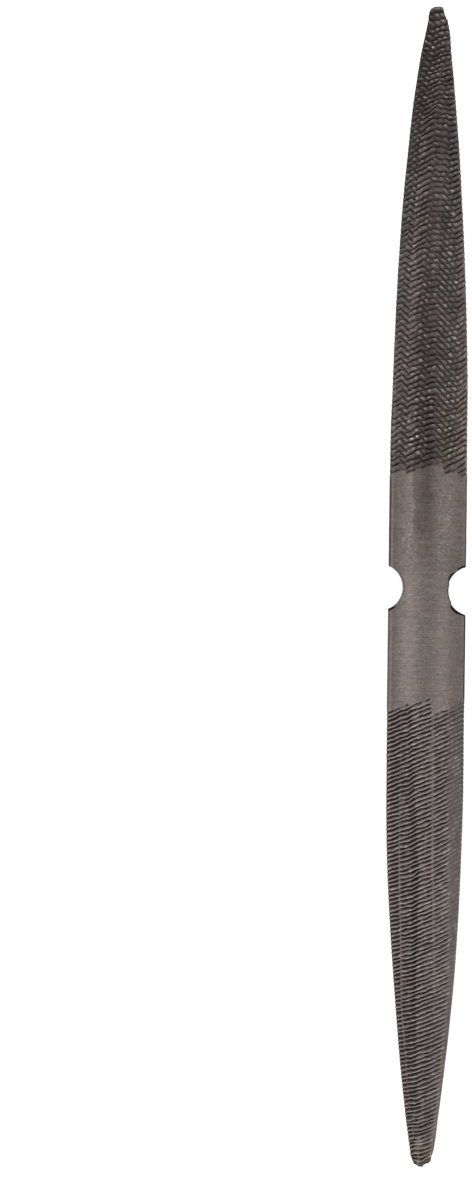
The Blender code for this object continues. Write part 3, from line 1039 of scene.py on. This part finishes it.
def scale_and_shade_mark(skin):
    """Where the surface is dark: dull scale on the sides, with painted shade there too, and painted shade
    along the edges, in deep strokes and round the fine tip.
    """
    bar, end, twice_cut = skin.bar, skin.end, skin.twice_cut
    fine = end.side < 0
    # Painted shade round the fine tip
    broken = across_tip(FINE_TIP_SHADE, skin.tip_shares)
    tip_shade = short_of(skin.distance[:, None] - skin.chips, (0, broken)) * fine
    # Painted shade where the gullets run out over the edges, and along the coarse end's edges near its tip
    left_edge, right_edge = edge_columns(EDGE_TURN)
    tip_edge_shade = TIP_EDGE_SHARE * twice_cut * short_of(skin.gone, DARK_EDGE_FADE)
    cut_edge_shade = (left_edge + right_edge) * np.maximum(CUT_EDGE_SHARE * skin.cut, tip_edge_shade)
    # The rubbed mark is painted shade: a thin dark line along both edges of the coarse end near its tip,
    # mostly less dark on the right
    from_edge = section(bar, end, skin.gone)[0] - np.abs(skin.across_share) * bar.width / 2
    rubbed = short_of(from_edge, EDGE_SHADE_RIM) * short_of(skin.gone, EDGE_SHADE_FADE) * twice_cut
    right_edge_shade = RIGHT_EDGE_SHADE_SHARE + (1 - RIGHT_EDGE_SHADE_SHARE) * short_of(skin.gone, RIGHT_EDGE_SHADE_FADE)
    rubbed = rubbed * np.where(skin.flat, 0, np.where(skin.across_share < 0, LEFT_EDGE_SHADE_SHARE, right_edge_shade))
    # Painted shade lines along both sides up to the first strokes, and along the fine heel's right side
    left_line, _ = edge_columns(LEFT_LINE_TURN)
    _, right_line = edge_columns(RIGHT_LINE_TURN)
    left_share, right_share = (np.where(skin.y < 0, *pair) for pair in (LEFT_LINE_SHARES, RIGHT_LINE_SHARES))
    side_shade_line = left_line * left_share + right_line * right_share
    side_shade_line = short_of(skin.stroke, SIDE_LINE_END) * side_shade_line
    fine_heel = fine * short_of(skin.station, FINE_HEEL_LINE_END)[:, None]
    side_shade_line = np.maximum(side_shade_line, FINE_HEEL_LINE_SHARE * right_line * fine_heel)
    # Painted shade in the deepest strokes
    deep_from, deep_over = DEEP_STROKE_SHARES
    deep = np.clip((skin.up_share - deep_from) / deep_over, 0, 1) * skin.cut**2
    deep = np.where(skin.flat, 0, deep)
    # The sides are dark: dull scale, and painted shade as well
    walls = wall_columns() + np.zeros_like(skin.x)
    walls = np.maximum.reduce((walls, tip_shade, cut_edge_shade, rubbed, side_shade_line, deep))
    # Less painted shade on the left notch's wall, where it faces the light
    return walls * (1 - LIT_WALL_SHARE * skin.rubbed_wall)


def bright_crests(skin, walls):
    """How bright the crests are, partly worn and partly painted highlight, and where painted glints lie on
    single tops.
    """
    end, chance, twice_cut = skin.end, skin.chance, skin.twice_cut
    at_tip = past(skin.station, TIP_SHINE_START)[:, None] * twice_cut
    shine = blended(skin, "shine")
    if twice_cut:
        uneven = SUNK_WEAR_SHARE - SUNK_WEAR_SHARE * skin.sunk
    else:
        uneven = LEAST_WEAR_SHARE + WEAR_SPREAD_SHARE * chance_at(skin, chance.gap, closer=3)
    # Lighter crests: partly worn, partly painted highlight, more near the coarse tip, plus the painted
    # highlight line along the left corner
    worn = skin.crest * shine * end.wear * uneven * (1 + at_tip) + corner_highlight(skin)
    # Painted glints on scattered tops and lone bricks, stronger at the coarse heel and near its tip
    glint = chance_at(skin, chance.spark**GLINT_POWER, closer=3) + skin.lone_tops * shine
    bright_strip = within(-skin.across_share, BRIGHT_STRIP_START, BRIGHT_STRIP_END) * twice_cut
    heel_gain = 1 + HEEL_GLINT_GAIN * short_of(skin.stroke, BRIGHT_HEEL_END) * bright_strip
    glint = glint * end.sparkle * heel_gain * (1 + TIP_GLINT_GAIN * at_tip) * past(skin.stroke, GLINT_START)
    return np.clip(worn, 0, 1) * (1 - walls), np.clip(glint * skin.crest, 0, 1) * (1 - walls)


def end_skin(settings, end, strips, places, steps):
    """The skin of one half as arrays of rows and columns: its place, its marks and its rows' phases."""
    skin = uncut_skin(settings, end, strips, places, steps)
    cut_teeth(skin)
    shape_tip(skin)
    walls = scale_and_shade_mark(skin)
    worn, glint = bright_crests(skin, walls)
    scale = blended(skin, "scale_shares") * (LEAST_SCALE_SHARE + SCALE_SPREAD_SHARE * skin.patches)
    return {
        "x": skin.x,
        "y": skin.y,
        "z": skin.z,
        "cut": skin.cut,
        "scale": np.clip(skin.begun * scale, 0, 1),
        # Lighter crests: partly worn, partly painted highlight
        "worn": worn,
        # Painted glints
        "glint": glint,
        # Brown stain in the strips, and the brown band by the left corner, which is partly painted dark
        # reflection
        "stain": np.maximum(brown_shade_band(skin), blended(skin, "stain") * skin.toothed),
        # Dull scale on the sides, and painted shade along the edges, tips and deep strokes
        "unground": walls,
        # Darker waist, with a painted dark reflection in its coarse half and painted shade on the notch rims
        "tarnish_and_shade": np.maximum(tarnish_and_shade(skin), RIM_SHADE_SHARE * skin.rim),
        "straw": straw_tint(skin),
        # Painted glints as bright flecks
        "flecks": fleck_glint_bands(skin),
        "phase": skin.phase,
    }


def rubbed_spot(x, y):
    """A small spot near the fine tip where the teeth are rubbed down: 1 in its middle, 0 past its rim."""
    away = np.sqrt(((x - SPOT_PLACE[0]) / SPOT_REACH[0]) ** 2 + ((y - SPOT_PLACE[1]) / SPOT_REACH[1]) ** 2)
    return 1 - eased(away)


def across_tip(points, shares):
    """A length at each place across the tip, straight between the points where it is given."""
    return np.interp(np.clip(shares, -1, 1), *zip(*points))


def from_left_edge(skin):
    """How far each point lies from the left edge, in widths of the worn left corner."""
    return (skin.across_share + 1) * skin.bar.width / 2 / skin.bar.left_corner


def corner_highlight(skin):
    """A painted highlight: a thin bright line along the left corner, where it faces the left light."""
    return CORNER_HIGHLIGHT_SHARE * within(from_left_edge(skin), CORNER_HIGHLIGHT_START, CORNER_HIGHLIGHT_END)


def brown_shade_band(skin):
    """The brown band beside the left corner of the waist: a brown tint, and partly a painted dark reflection
    of the horizon on the steep face.
    """
    band = within(from_left_edge(skin), BROWN_BAND_START, BROWN_BAND_END)
    return band * short_of(skin.station[:, None], WAIST_END)


def tarnish_and_shade(skin):
    """How much the waist's ground steel is darkened: its coarse half a little, the right of its fine half
    more, and a painted dark reflection in the middle of its coarse half most.
    """
    x, y = skin.x, skin.y
    first_row, rows = TARNISH_STRAY_ROWS
    wander = TARNISH_STRAY * between(skin.chance.stray, y * rows + first_row, skin.across * 2)
    coarse_half = past(y, TARNISHED_HALF_START)
    # The patch is a painted dark reflection
    patch = within(x + wander, *TARNISH_PATCH_ACROSS)
    patch = patch * past(y + wander * TARNISH_ALONG_STRAY, TARNISH_PATCH_ALONG)
    right_edge = past(x, TARNISH_EDGE_START) * (1 - coarse_half)
    dulled = TARNISHED_HALF_SHARE * coarse_half + TARNISH_PATCH_SHARE * patch
    return np.clip(dulled + TARNISH_EDGE_SHARE * right_edge, 0, 1)


def straw_tint(skin):
    """Where the steel is straw coloured: at the fine tip, and on the right of the coarse heel."""
    if skin.end.side < 0:
        return short_of(skin.gone, STRAW_TIP_FADE)
    along = within(skin.station[:, None], WAIST_END, STRAW_HEEL_END)
    return STRAW_SHARE * past(skin.across_share, STRAW_ACROSS) * along


def fleck_glint_bands(skin):
    """Where painted glints lie on the waist as bright flecks: in two bands of its coarse half, where the
    highlights fall.
    """
    across = [within(skin.x, left, right) for left, right, _, _ in FLECK_GLINT_BANDS]
    along = [within(skin.y, lower, upper) for _, _, lower, upper in FLECK_GLINT_BANDS]
    return np.maximum(across[0] * along[0], across[1] * along[1])


def both_halves(settings):
    """The whole skin from the fine tip to the coarse tip, with the middle row kept once."""
    coarse = end_skin(settings, settings.coarse, COARSE_STRIPS, COARSE_PLACES, COARSE_ROW_PHASES)
    fine = end_skin(settings, settings.fine, FINE_STRIPS, FINE_PLACES, FINE_ROW_PHASES)
    skin = {
        key: np.concatenate((fine[key][::-1], coarse[key][1:]))
        for key in ("x", "y", "z", *SURFACE_MARKS)
    }
    rows = len(fine["phase"])
    fine_joint = rows - 1 - int(np.searchsorted(fine["phase"], JOINT_TOOTH))
    coarse_joint = rows - 1 + int(np.searchsorted(coarse["phase"], JOINT_TOOTH))
    last = len(skin["x"]) - 1
    fine_mid = fine_joint // 2
    coarse_mid = (coarse_joint + last) // 2
    return skin, (0, fine_mid, fine_joint, coarse_joint, coarse_mid, last)


def lay_stretch(name, skin, start, stop, material):
    """One closed stretch of the bar: the rows from start to stop as quads, and a fan over each end row."""
    rows = slice(start, stop + 1)
    x, y, z = skin["x"][rows], skin["y"][rows], skin["z"][rows]
    count, columns = x.shape
    points = np.stack((x.ravel(), y.ravel(), z.ravel()), axis=1)
    low, high = points[:columns].mean(axis=0), points[-columns:].mean(axis=0)
    points = np.vstack((points, low, high))
    index = np.arange(count * columns).reshape(count, columns)
    turned = np.roll(index, -1, axis=1)
    quads = np.stack((index[:-1], turned[:-1], turned[1:], index[1:]), axis=-1).reshape(-1, 4)
    low_fan = np.stack((np.full(columns, count * columns), turned[0], index[0]), axis=-1)
    high_fan = np.stack((np.full(columns, count * columns + 1), index[-1], turned[-1]), axis=-1)
    mesh = bpy.data.meshes.new(name)
    mesh.from_pydata(points.tolist(), [], quads.tolist() + low_fan.tolist() + high_fan.tolist())
    smooth = np.ones(len(mesh.polygons), bool)
    smooth[len(quads) :] = False
    mesh.polygons.foreach_set("use_smooth", smooth)
    for key in SURFACE_MARKS:
        values = np.concatenate((skin[key][rows].ravel(), [0.0, 0.0])).astype(np.float32)
        mesh.attributes.new(key, "FLOAT", "POINT").data.foreach_set("value", values)
    mesh.update()
    mesh.materials.append(material)
    piece = bpy.data.objects.new(name, mesh)
    bpy.context.scene.collection.objects.link(piece)
    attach(piece, "root")
    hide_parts("file_blade")
    return piece


def add_node(tree, kind, **inputs):
    """A shader node with some of its inputs set by name."""
    made = tree.nodes.new(kind)
    for name, value in inputs.items():
        made.inputs[name.replace("_", " ")].default_value = value
    return made


def ramp(tree, source, stops):
    """A ramp of greys over a value, with its stops given as place and level."""
    made = tree.nodes.new("ShaderNodeValToRGB")
    elements = made.color_ramp.elements
    while len(elements) < len(stops):
        elements.new(0.5)
    for element, (position, level) in zip(elements, stops):
        element.position = position
        element.color = grey(level)
    tree.links.new(source, made.inputs["Fac"])
    return made.outputs["Color"]


def grey(level):
    """A grey of that level."""
    return (level, level, level, 1.0)


def fill(tree, socket, value):
    """Feed a socket from another socket, or set it to a number or to a plain colour."""
    if isinstance(value, bpy.types.NodeSocket):
        tree.links.new(value, socket)
    elif isinstance(value, float):
        socket.default_value = value
    else:
        socket.default_value = (*value[:3], 1.0)


def mixed(tree, factor, first, second, blend="MIX"):
    """One colour over another by a factor, each a socket or a plain colour."""
    made = tree.nodes.new("ShaderNodeMix")
    made.data_type = "RGBA"
    made.blend_type = blend
    for socket, value in ((made.inputs[0], factor), (made.inputs[6], first), (made.inputs[7], second)):
        fill(tree, socket, value)
    return made.outputs[2]


def reckoned(tree, operation, first, second):
    """One value and another put through that operation."""
    made = tree.nodes.new("ShaderNodeMath")
    made.operation = operation
    for socket, value in zip(made.inputs, (first, second)):
        fill(tree, socket, value)
    return made.outputs[0]


def noise(tree, source, scale, detail=3.0, roughness=0.5, stretch=(1.0, 1.0, 1.0), turn=0.0):
    """Noise over the object's own coordinates, stretched along its axes."""
    mapping = tree.nodes.new("ShaderNodeMapping")
    mapping.inputs["Scale"].default_value = stretch
    mapping.inputs["Rotation"].default_value = (0.0, 0.0, turn)
    tree.links.new(source, mapping.inputs["Vector"])
    made = add_node(tree, "ShaderNodeTexNoise", Scale=scale, Detail=detail, Roughness=roughness)
    tree.links.new(mapping.outputs["Vector"], made.inputs["Vector"])
    return made.outputs["Fac"]


def mark(tree, name):
    """The value that each point of the skin carries under that name."""
    made = tree.nodes.new("ShaderNodeAttribute")
    made.attribute_name = name
    return made.outputs["Fac"]


def worn_steel(steel):
    """Hardened steel: ground warm grey with stains and grind lines; crests partly worn bright and partly
    painted highlight, with painted glints; gullets and sides darkened by scale and by painted shade.
    """
    existing = bpy.data.materials.get("worn_steel")
    if existing:
        return existing
    material = bpy.data.materials.new("worn_steel")
    material.use_nodes = True
    tree = material.node_tree
    shader = tree.nodes["Principled BSDF"]
    spot = tree.nodes.new("ShaderNodeTexCoord").outputs["Object"]

    brown = noise(tree, spot, scale=330.0, detail=2.0, roughness=0.6)
    olive = noise(tree, spot, scale=260.0, detail=2.0, roughness=0.55, stretch=(1.0, 0.6, 1.0), turn=0.7)
    cloud = noise(tree, spot, scale=110.0, detail=3.0, roughness=0.6, stretch=(1.0, 0.5, 1.0))
    grain = noise(tree, spot, scale=2400.0, detail=3.0, roughness=0.75)
    speckle = noise(tree, spot, scale=1100.0, detail=2.0, roughness=0.7)
    lines = (300.0, 2800.0, 300.0)
    grind = noise(tree, spot, scale=1.0, detail=2.0, roughness=0.6, stretch=lines, turn=0.06)
    glint_fleck_noise = noise(tree, spot, scale=2000.0, detail=1.0, roughness=0.5)

    browned = ramp(tree, brown, ((0.48, 0.0), (0.68, 0.65)))
    olived = ramp(tree, olive, ((0.48, 0.0), (0.68, 0.75)))
    stain = mark(tree, "stain")
    ground = mixed(tree, mark(tree, "scale"), steel.ground, steel.scale)
    ground = mixed(tree, browned, ground, steel.rust_wash, "MULTIPLY")
    ground = mixed(tree, olived, ground, steel.olive_wash, "MULTIPLY")
    # Darker waist, with a painted dark reflection in its coarse half and painted shade on the notch rims
    ground = mixed(tree, mark(tree, "tarnish_and_shade"), ground, steel.tarnish_wash, "MULTIPLY")
    for source, darkest, lightest in (
        (cloud, 0.88, 1.11),
        (grain, 0.76, 1.26),
        (grind, 0.84, 1.16),
        (speckle, 0.86, 1.14),
    ):
        shade = ramp(tree, source, ((0.3, darkest), (0.7, lightest)))
        ground = mixed(tree, 1.0, ground, shade, "MULTIPLY")
    # Painted glints: bright flecks in two bands of the waist
    glint_flecks = ramp(tree, glint_fleck_noise, ((0.60, 0.0), (0.69, 0.48)))
    glint_flecks = reckoned(tree, "MULTIPLY", glint_flecks, mark(tree, "flecks"))
    ground = mixed(tree, glint_flecks, ground, steel.crest)
    # Brown stain in the strips, and the brown band by the left corner, which is partly painted dark
    # reflection
    ground = mixed(tree, stain, ground, steel.rust_wash, "MULTIPLY")
    # Lighter crests: partly worn, partly painted highlight
    lit = mixed(tree, mark(tree, "worn"), ground, steel.crest)
    lit = mixed(tree, mark(tree, "straw"), lit, steel.straw_wash, "MULTIPLY")
    # Painted glints
    lit = mixed(tree, mark(tree, "glint"), lit, steel.glint)
    # Gullets darkened with the cut's depth: scale left in them, and painted shade
    sunk = ramp(tree, mark(tree, "cut"), ((0.38, 0.0), (0.72, 0.7), (0.95, 0.97)))
    gullet = mixed(tree, stain, steel.gullet, steel.stained_gullet)
    # The dark colour of the dull scale on the sides, also painted shade along the edges, tips and deep
    # strokes
    unground = mark(tree, "unground")
    skin = mixed(tree, unground, mixed(tree, sunk, lit, gullet), steel.unground)
    tree.links.new(skin, shader.inputs["Base Color"])

    polished = reckoned(tree, "SUBTRACT", 1.0, unground)
    tree.links.new(polished, shader.inputs["Metallic"])
    tree.links.new(reckoned(tree, "MULTIPLY", polished, 0.5), shader.inputs["Specular IOR Level"])
    tree.links.new(ramp(tree, grain, ((0.3, 0.38), (0.7, 0.52))), shader.inputs["Roughness"])
    bump = add_node(tree, "ShaderNodeBump", Strength=0.5, Distance=0.00004)
    tree.links.new(mixed(tree, 0.45, grind, grain), bump.inputs["Height"])
    tree.links.new(bump.outputs["Normal"], shader.inputs["Normal"])
    return material


def lay_stretches(context, *names):
    """Lay those stretches of the skin, each between its two joints."""
    settings = context.scene.wood_file
    skin, joints = both_halves(settings)
    for name in names:
        start = STRETCHES.index(name)
        lay_stretch(name, skin, joints[start], joints[start + 1], worn_steel(settings.steel))


class WOODFILE_OT_waist(bpy.types.Operator):
    """Lay the plain waist with its two notches, and the first teeth on each side of it"""

    bl_idname = "wood_file.waist"
    bl_label = "Waist"

    def execute(self, context):
        lay_stretches(context, "waist")
        return {"FINISHED"}


class WOODFILE_OT_coarse_end(bpy.types.Operator):
    """Lay the coarse, double-cut end in two stretches"""

    bl_idname = "wood_file.coarse_end"
    bl_label = "Coarse End"

    def execute(self, context):
        lay_stretches(context, "coarse_end_inner", "coarse_end_outer")
        return {"FINISHED"}


class WOODFILE_OT_fine_end(bpy.types.Operator):
    """Lay the fine, single-cut end in two stretches"""

    bl_idname = "wood_file.fine_end"
    bl_label = "Fine End"

    def execute(self, context):
        lay_stretches(context, "fine_end_inner", "fine_end_outer")
        return {"FINISHED"}


def seen_directly(tree):
    """1 for camera, mirror and glass rays and 0 for the light that falls on things."""
    path = tree.nodes.new("ShaderNodeLightPath").outputs
    value = reckoned(tree, "MAXIMUM", path["Is Camera Ray"], path["Is Glossy Ray"])
    return reckoned(tree, "MAXIMUM", value, path["Is Transmission Ray"])


def make_floor():
    """A plain pale floor that is white to the eye but for the file's soft shadow."""
    mesh = bpy.data.meshes.new("floor")
    ways = ((-1, -1), (1, -1), (1, 1), (-1, 1))
    corners = [(x * FLOOR_REACH, y * FLOOR_REACH, -FLOOR_DROP) for x, y in ways]
    mesh.from_pydata(corners, [], [range(4)])
    floor = bpy.data.objects.new("floor", mesh)
    bpy.context.scene.collection.objects.link(floor)
    material = bpy.data.materials.new("pale_floor")
    material.use_nodes = True
    tree = material.node_tree
    tree.nodes.clear()
    output = tree.nodes.new("ShaderNodeOutputMaterial")
    diffuse = add_node(tree, "ShaderNodeBsdfDiffuse", Color=grey(FLOOR_GREY))
    glow = tree.nodes.new("ShaderNodeEmission")
    tree.links.new(reckoned(tree, "MULTIPLY", seen_directly(tree), FLOOR_GLOW), glow.inputs["Strength"])
    total = tree.nodes.new("ShaderNodeAddShader")
    tree.links.new(diffuse.outputs[0], total.inputs[0])
    tree.links.new(glow.outputs[0], total.inputs[1])
    tree.links.new(total.outputs[0], output.inputs["Surface"])
    mesh.materials.append(material)


def make_world(level):
    """An even grey room that looks white to the camera."""
    world = bpy.data.worlds.new("room")
    world.use_nodes = True
    tree = world.node_tree
    background = tree.nodes["Background"]
    path = tree.nodes.new("ShaderNodeLightPath")
    strength = tree.nodes.new("ShaderNodeMapRange")
    strength.inputs["To Min"].default_value = level
    strength.inputs["To Max"].default_value = 1.0
    tree.links.new(path.outputs["Is Camera Ray"], strength.inputs["Value"])
    tree.links.new(strength.outputs[0], background.inputs["Strength"])
    background.inputs["Color"].default_value = grey(1.0)
    bpy.context.scene.world = world


def softbox(name, tilt_degrees, level, width, depth, distance=0.8):
    """A soft area light that faces the file from a tilt off the vertical, positive to the right."""
    light = bpy.data.lights.new(name, "AREA")
    light.shape = "RECTANGLE"
    light.size = width
    light.size_y = depth
    light.energy = level * math.pi * width * depth
    lamp = bpy.data.objects.new(name, light)
    tilt = math.radians(tilt_degrees)
    lamp.location = (math.sin(tilt) * distance, 0.0, math.cos(tilt) * distance)
    lamp.rotation_euler = (0.0, tilt, 0.0)
    bpy.context.scene.collection.objects.link(lamp)


def make_camera(stage, bar):
    """The camera looks straight down from above the middle of the photograph's frame."""
    scale = bar.overall_length / BAR_LENGTH_PX
    right = (WAIST_MIDDLE_PX[0] - PHOTO_WIDTH_PX / 2) * scale
    up = (PHOTO_HEIGHT_PX / 2 - WAIST_MIDDLE_PX[1]) * scale
    cos, sin = math.cos(stage.lean), math.sin(stage.lean)
    camera = bpy.data.cameras.new("camera")
    camera.sensor_fit = "VERTICAL"
    camera.sensor_height = SENSOR_HEIGHT_MM
    camera.lens = camera.sensor_height * stage.camera_height / (PHOTO_HEIGHT_PX * scale)
    holder = bpy.data.objects.new("camera", camera)
    holder.location = (-(right * cos - up * sin), -(right * sin + up * cos), stage.camera_height)
    holder.rotation_euler = (0.0, 0.0, stage.lean)
    bpy.context.scene.collection.objects.link(holder)
    bpy.context.scene.camera = holder


class WOODFILE_OT_stage(bpy.types.Operator):
    """Set the pale floor, the soft light and the camera"""

    bl_idname = "wood_file.stage"
    bl_label = "Stage"

    def execute(self, context):
        settings = context.scene.wood_file
        context.scene.view_settings.view_transform = "Standard"
        make_floor()
        make_world(settings.stage.world_level)
        level = settings.stage.box_level
        softbox("left_softbox", tilt_degrees=-37, level=level, width=0.42, depth=1.0)
        softbox("right_softbox", tilt_degrees=42, level=level * RIGHT_BOX_SHARE, width=0.60, depth=1.0)
        make_camera(settings.stage, settings.bar)
        return {"FINISHED"}


class VIEW3D_PT_wood_file(bpy.types.Panel):
    """The wood file's sizes and its building steps"""

    bl_label = "Wood File"
    bl_idname = "VIEW3D_PT_wood_file"
    bl_space_type = "VIEW_3D"
    bl_region_type = "UI"
    bl_category = "Wood File"

    def draw(self, context):
        settings = context.scene.wood_file
        for group in WoodFileSettings.__annotations__:
            box = self.layout.box()
            box.label(text=group.replace("_", " ").title())
            values = getattr(settings, group)
            for name in values.__annotations__:
                box.prop(values, name)
        for operator in OPERATORS:
            self.layout.operator(operator.bl_idname)


OPERATORS = (WOODFILE_OT_waist, WOODFILE_OT_coarse_end, WOODFILE_OT_fine_end, WOODFILE_OT_stage)
CLASSES = (
    BarSizes,
    CoarseEnd,
    FineEnd,
    LeftNotch,
    RightNotch,
    SteelFinish,
    StageSizes,
    WoodFileSettings,
    *OPERATORS,
    VIEW3D_PT_wood_file,
)


def register():
    """Add the classes and the scene's settings."""
    for cls in CLASSES:
        bpy.utils.register_class(cls)
    bpy.types.Scene.wood_file = bpy.props.PointerProperty(type=WoodFileSettings)


def unregister():
    """Take them away again."""
    del bpy.types.Scene.wood_file
    for cls in reversed(CLASSES):
        bpy.utils.unregister_class(cls)


def main():
    """Build the file and its stage."""
    register()
    bpy.ops.wood_file.waist()
    bpy.ops.wood_file.coarse_end()
    bpy.ops.wood_file.fine_end()
    bpy.ops.wood_file.stage()


if __name__ == "__main__":
    main()
